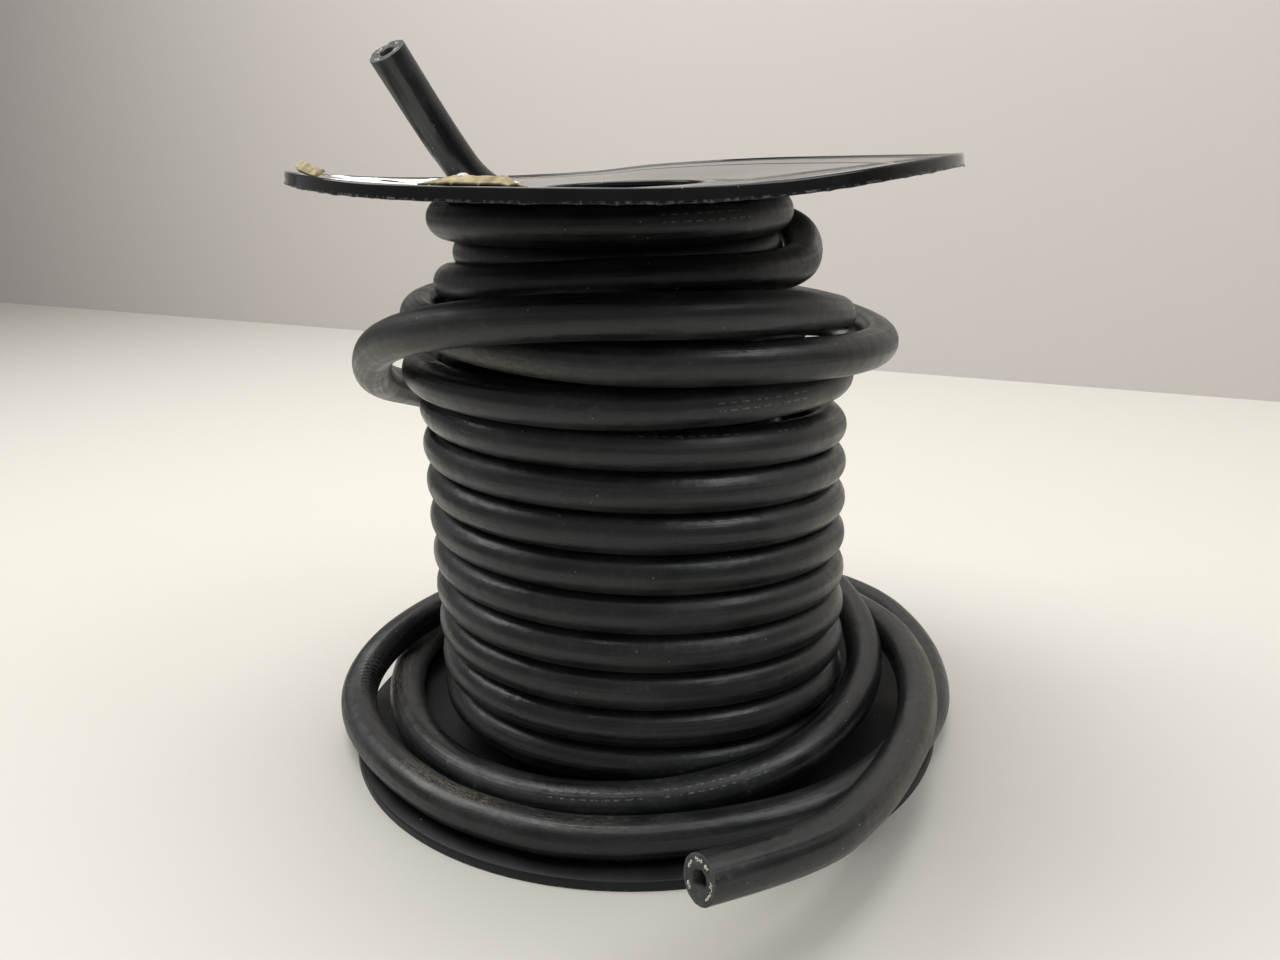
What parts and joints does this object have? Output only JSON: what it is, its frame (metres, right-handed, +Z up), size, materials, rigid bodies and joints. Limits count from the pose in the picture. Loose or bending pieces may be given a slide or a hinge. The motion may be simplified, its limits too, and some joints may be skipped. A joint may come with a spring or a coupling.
{
  "type": "reel of rubber air hose",
  "caption": "Bulk rubber air hose wound loosely on a two-flange spool that stands on end, with both hose ends cut bare.",
  "frame": {"origin": "centre of the bottom flange's lower face, which the spool stands on", "axes": "+Z up along the spindle bore; -Y is the side where the lower cut end of the hose points"},
  "size_m": [0.2816, 0.3353, 0.298],
  "materials": {
    "hose_cover": "satin, dusty",
    "hose_liner": "matte",
    "hose_yarn": "fibrous",
    "flange_plastic": "gloss, scuffed",
    "core_fibre": "matte",
    "label_paper": "torn",
    "kraft_card": "torn",
    "hot_glue": "cloudy"
  },
  "bodies": {
    "root": {"bottom_flange": "flange_plastic", "bottom_hub": "flange_plastic", "core_tube": "core_fibre", "top_hub": "flange_plastic", "top_flange": "flange_plastic", "label_residue": "label_paper", "kraft_scrap_left": "kraft_card", "kraft_scrap_front": "kraft_card", "glue_bead": "hot_glue", "hose_tail": "hose_cover", "hose_upper_turns": "hose_cover", "hose_inner_wrap": "hose_cover", "hose_outer_wrap": "hose_cover", "hose_crossing_turns": "hose_cover", "hose_back_sweep": "hose_cover", "hose_base_loops": "hose_cover", "hose_lower_run": "hose_cover", "tail_end_liner": "hose_liner", "tail_end_yarn": "hose_yarn", "tail_end_cover": "hose_cover", "lower_end_liner": "hose_liner", "lower_end_yarn": "hose_yarn", "lower_end_cover": "hose_cover"}
  },
  "joints": []
}
